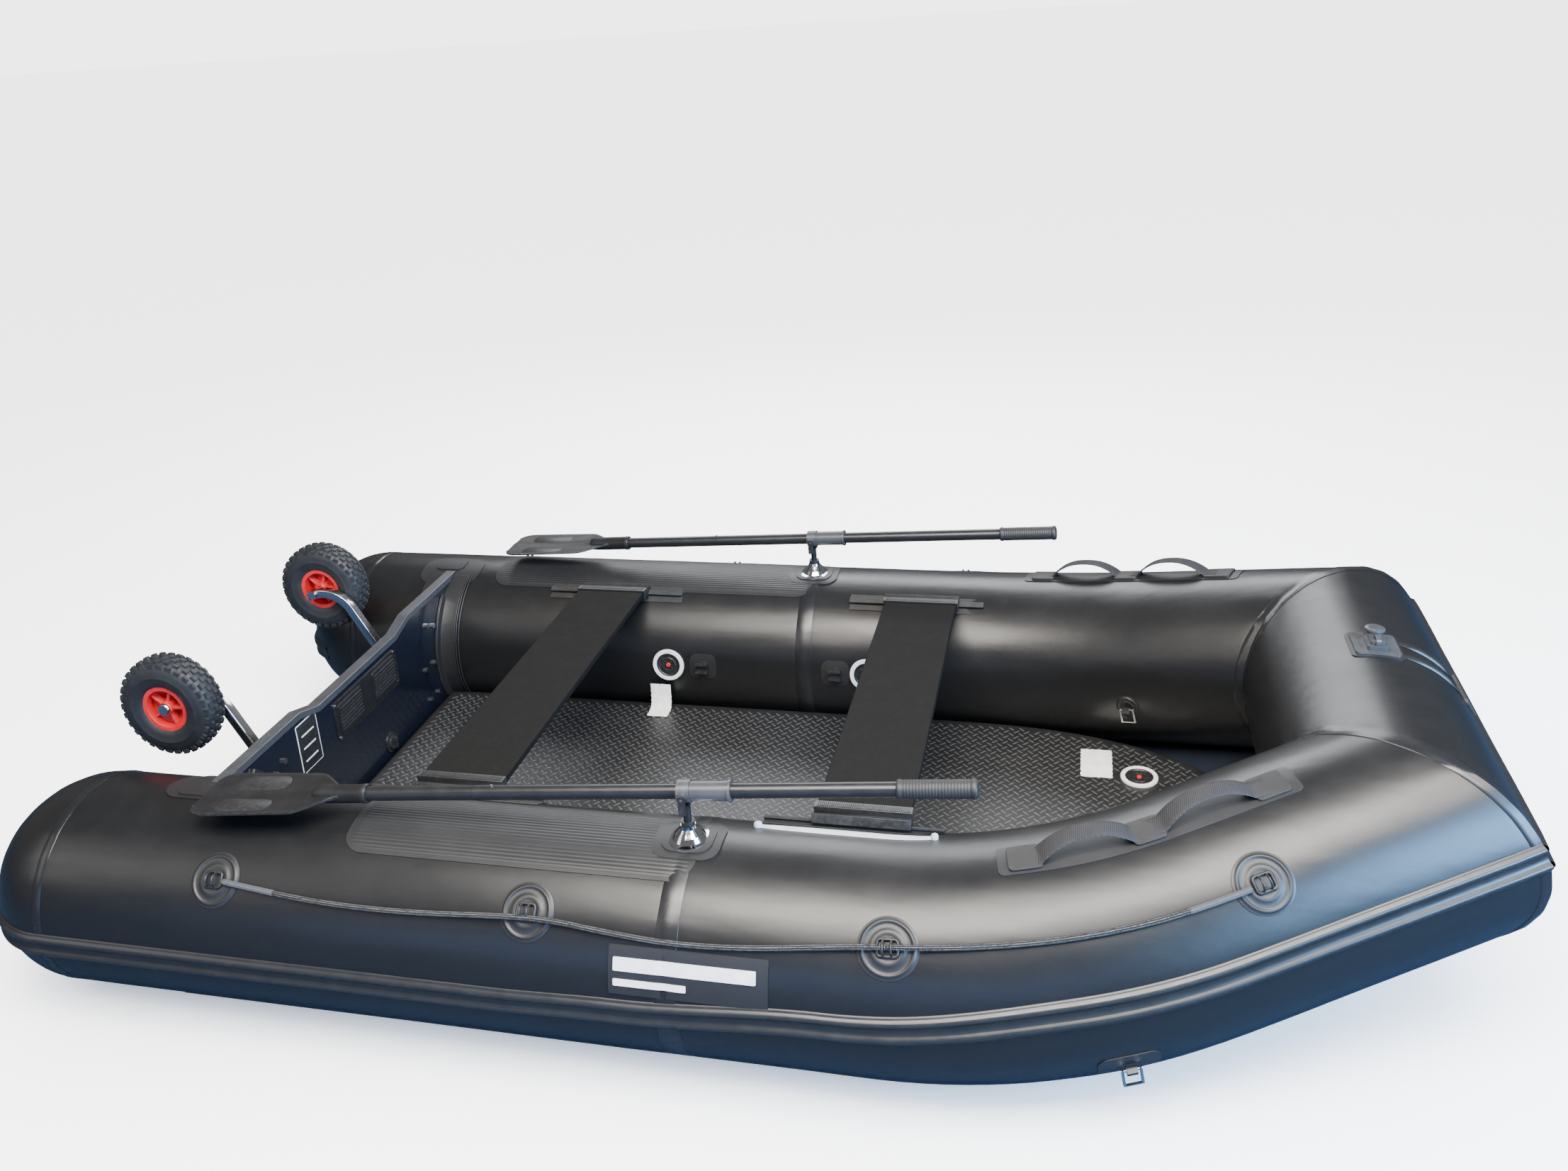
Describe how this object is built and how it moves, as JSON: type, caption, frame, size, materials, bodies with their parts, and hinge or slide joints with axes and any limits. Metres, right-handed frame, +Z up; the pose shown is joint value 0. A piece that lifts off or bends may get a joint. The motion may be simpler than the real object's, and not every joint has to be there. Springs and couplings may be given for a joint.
{
  "type": "inflatable dinghy",
  "caption": "Inflatable dinghy with an air deck, plywood transom and motor pads, fold-up launching wheels, sliding seats and oars in swivelling rowlocks.",
  "frame": {"origin": "on the ground under the keel, at the middle of the overall length and on the centre line", "axes": "+X to the bow, +Y to port, +Z up"},
  "size_m": [3.2193, 1.73, 0.6523],
  "materials": {
    "pvc_black": "satin",
    "pvc_patch": "satin",
    "strake_rubber": "satin",
    "bottom_pvc": "satin",
    "deck_pvc": "embossed",
    "transom_black": "gloss",
    "grey_plastic": "satin",
    "black_plastic": "matte",
    "red_plastic": "satin",
    "white_plastic": "satin",
    "rubber_black": "matte",
    "tyre_rubber": "matte",
    "steel": "polished",
    "chrome": "polished",
    "seat_ply": "matte",
    "oar_alloy": "anodised",
    "webbing": "woven",
    "cord": "braided"
  },
  "bodies": {
    "hull": {"air_deck": "deck_pvc", "air_valves": "grey_plastic", "bow_cleat": "grey_plastic", "bow_handle": "rubber_black", "bow_ridges": "pvc_patch", "bow_tube": "pvc_black", "carry_handles": "webbing", "drain_socket": "black_plastic", "hull_bottom": "bottom_pvc", "keel_tube": "pvc_black", "lifeline_rings": "black_plastic", "motor_pads": "black_plastic", "oar_clips": "black_plastic", "port_lifeline": "cord", "port_tube": "pvc_black", "ring_saddles": "black_plastic", "rowlock_bases": "chrome", "rub_strake": "strake_rubber", "seat_rails": "white_plastic", "starboard_lifeline": "cord", "starboard_tube": "pvc_black", "transom_board": "transom_black", "transom_fasteners": "steel", "transom_holders": "pvc_black", "transom_trim": "grey_plastic", "tube_baffles": "pvc_black", "tube_patches": "pvc_patch", "wheel_brackets": "steel"},
    "aft_seat": {"aft_seat_board": "seat_ply", "aft_seat_caps": "black_plastic"},
    "fore_seat": {"fore_seat_board": "seat_ply", "fore_seat_caps": "black_plastic"},
    "drain_plug": {"drain_plug": "black_plastic"},
    "fore_valve_pin": {"fore_valve_pin": "red_plastic"},
    "aft_valve_pin": {"aft_valve_pin": "red_plastic"},
    "deck_valve_pin": {"deck_valve_pin": "red_plastic"},
    "port_wheel_arm": {"port_wheel_arm": "steel", "port_wheel_axle": "steel"},
    "port_wheel": {"port_wheel_rim": "red_plastic", "port_wheel_tyre": "tyre_rubber"},
    "port_rowlock": {"port_rowlock_pin": "chrome"},
    "port_oar": {"port_oar_collar": "grey_plastic", "port_oar_shaft": "oar_alloy", "port_oar_grip": "rubber_black", "port_oar_blade": "black_plastic"},
    "port_oar_button": {"port_oar_button": "steel"},
    "port_lashing_ring": {"port_lashing_ring": "steel"},
    "port_tow_ring": {"port_tow_ring": "steel"},
    "starboard_wheel_arm": {"starboard_wheel_arm": "steel", "starboard_wheel_axle": "steel"},
    "starboard_wheel": {"starboard_wheel_rim": "red_plastic", "starboard_wheel_tyre": "tyre_rubber"},
    "starboard_rowlock": {"starboard_rowlock_pin": "chrome"},
    "starboard_oar": {"starboard_oar_collar": "grey_plastic", "starboard_oar_shaft": "oar_alloy", "starboard_oar_grip": "rubber_black", "starboard_oar_blade": "black_plastic"},
    "starboard_oar_button": {"starboard_oar_button": "steel"},
    "starboard_lashing_ring": {"starboard_lashing_ring": "steel"},
    "starboard_tow_ring": {"starboard_tow_ring": "steel"}
  },
  "joints": [
    {"name": "aft_seat_slide", "type": "slide", "parent": "hull", "child": "aft_seat", "axis": [1, 0, 0], "range_m": [-0.09, 0.09]},
    {"name": "fore_seat_slide", "type": "slide", "parent": "hull", "child": "fore_seat", "axis": [1, 0, 0], "range_m": [-0.09, 0.05]},
    {"name": "drain_plug_pull", "type": "slide", "parent": "hull", "child": "drain_plug", "axis": [1, 0, 0], "range_m": [0, 0.035]},
    {"name": "fore_valve_press", "type": "slide", "parent": "hull", "child": "fore_valve_pin", "axis": [0, 0.9925, -0.1219], "range_m": [0, 0.003], "stiffness_N_per_m": 300},
    {"name": "aft_valve_press", "type": "slide", "parent": "hull", "child": "aft_valve_pin", "axis": [0, 0.9925, -0.1219], "range_m": [0, 0.003], "stiffness_N_per_m": 300},
    {"name": "deck_valve_press", "type": "slide", "parent": "hull", "child": "deck_valve_pin", "axis": [0, 0, -1], "range_m": [0, 0.003], "stiffness_N_per_m": 300},
    {"name": "port_wheel_fold", "type": "hinge", "parent": "hull", "child": "port_wheel_arm", "pos_m": [-1.14863, 0.284, 0.196], "axis": [0, -1, 0], "range_deg": [0, 100]},
    {"name": "port_wheel_spin", "type": "hinge", "parent": "port_wheel_arm", "child": "port_wheel", "pos_m": [-1.38163, 0.338, 0.494], "axis": [0, 1, 0], "continuous": true},
    {"name": "port_oar_swing", "type": "hinge", "parent": "hull", "child": "port_rowlock", "pos_m": [0.01637, 0.63, 0.5595], "axis": [0, 0, -1], "range_deg": [-8, 115]},
    {"name": "port_oar_lift", "type": "hinge", "parent": "port_rowlock", "child": "port_oar", "pos_m": [0.01637, 0.63, 0.5595], "axis": [0.0349, 0.9994, 0], "range_deg": [-1, 8]},
    {"name": "port_button_press", "type": "slide", "parent": "port_oar", "child": "port_oar_button", "axis": [0.0697, -0.0024, -0.9976], "range_m": [0, 0.003], "stiffness_N_per_m": 200},
    {"name": "port_lashing_ring_swing", "type": "hinge", "parent": "hull", "child": "port_lashing_ring", "pos_m": [0.88238, 0.30469, 0.25023], "axis": [0.9082, -0.356, 0.2199], "range_deg": [-110, 0]},
    {"name": "port_tow_ring_swing", "type": "hinge", "parent": "hull", "child": "port_tow_ring", "pos_m": [0.86319, 0.77348, 0.14611], "axis": [0.955, -0.2523, 0.1558], "range_deg": [0, 75]},
    {"name": "starboard_wheel_fold", "type": "hinge", "parent": "hull", "child": "starboard_wheel_arm", "pos_m": [-1.14863, -0.284, 0.196], "axis": [0, -1, 0], "range_deg": [0, 100]},
    {"name": "starboard_wheel_spin", "type": "hinge", "parent": "starboard_wheel_arm", "child": "starboard_wheel", "pos_m": [-1.38163, -0.338, 0.494], "axis": [0, 1, 0], "continuous": true},
    {"name": "starboard_oar_swing", "type": "hinge", "parent": "hull", "child": "starboard_rowlock", "pos_m": [0.01637, -0.63, 0.5595], "axis": [0, 0, 1], "range_deg": [-8, 115]},
    {"name": "starboard_oar_lift", "type": "hinge", "parent": "starboard_rowlock", "child": "starboard_oar", "pos_m": [0.01637, -0.63, 0.5595], "axis": [-0.0349, 0.9994, 0], "range_deg": [-1, 8]},
    {"name": "starboard_button_press", "type": "slide", "parent": "starboard_oar", "child": "starboard_oar_button", "axis": [0.0697, 0.0024, -0.9976], "range_m": [0, 0.003], "stiffness_N_per_m": 200},
    {"name": "starboard_lashing_ring_swing", "type": "hinge", "parent": "hull", "child": "starboard_lashing_ring", "pos_m": [0.88238, -0.30469, 0.25023], "axis": [-0.9082, -0.356, -0.2199], "range_deg": [-110, 0]},
    {"name": "starboard_tow_ring_swing", "type": "hinge", "parent": "hull", "child": "starboard_tow_ring", "pos_m": [0.86319, -0.77348, 0.14611], "axis": [-0.955, -0.2523, -0.1558], "range_deg": [0, 75]}
  ]
}
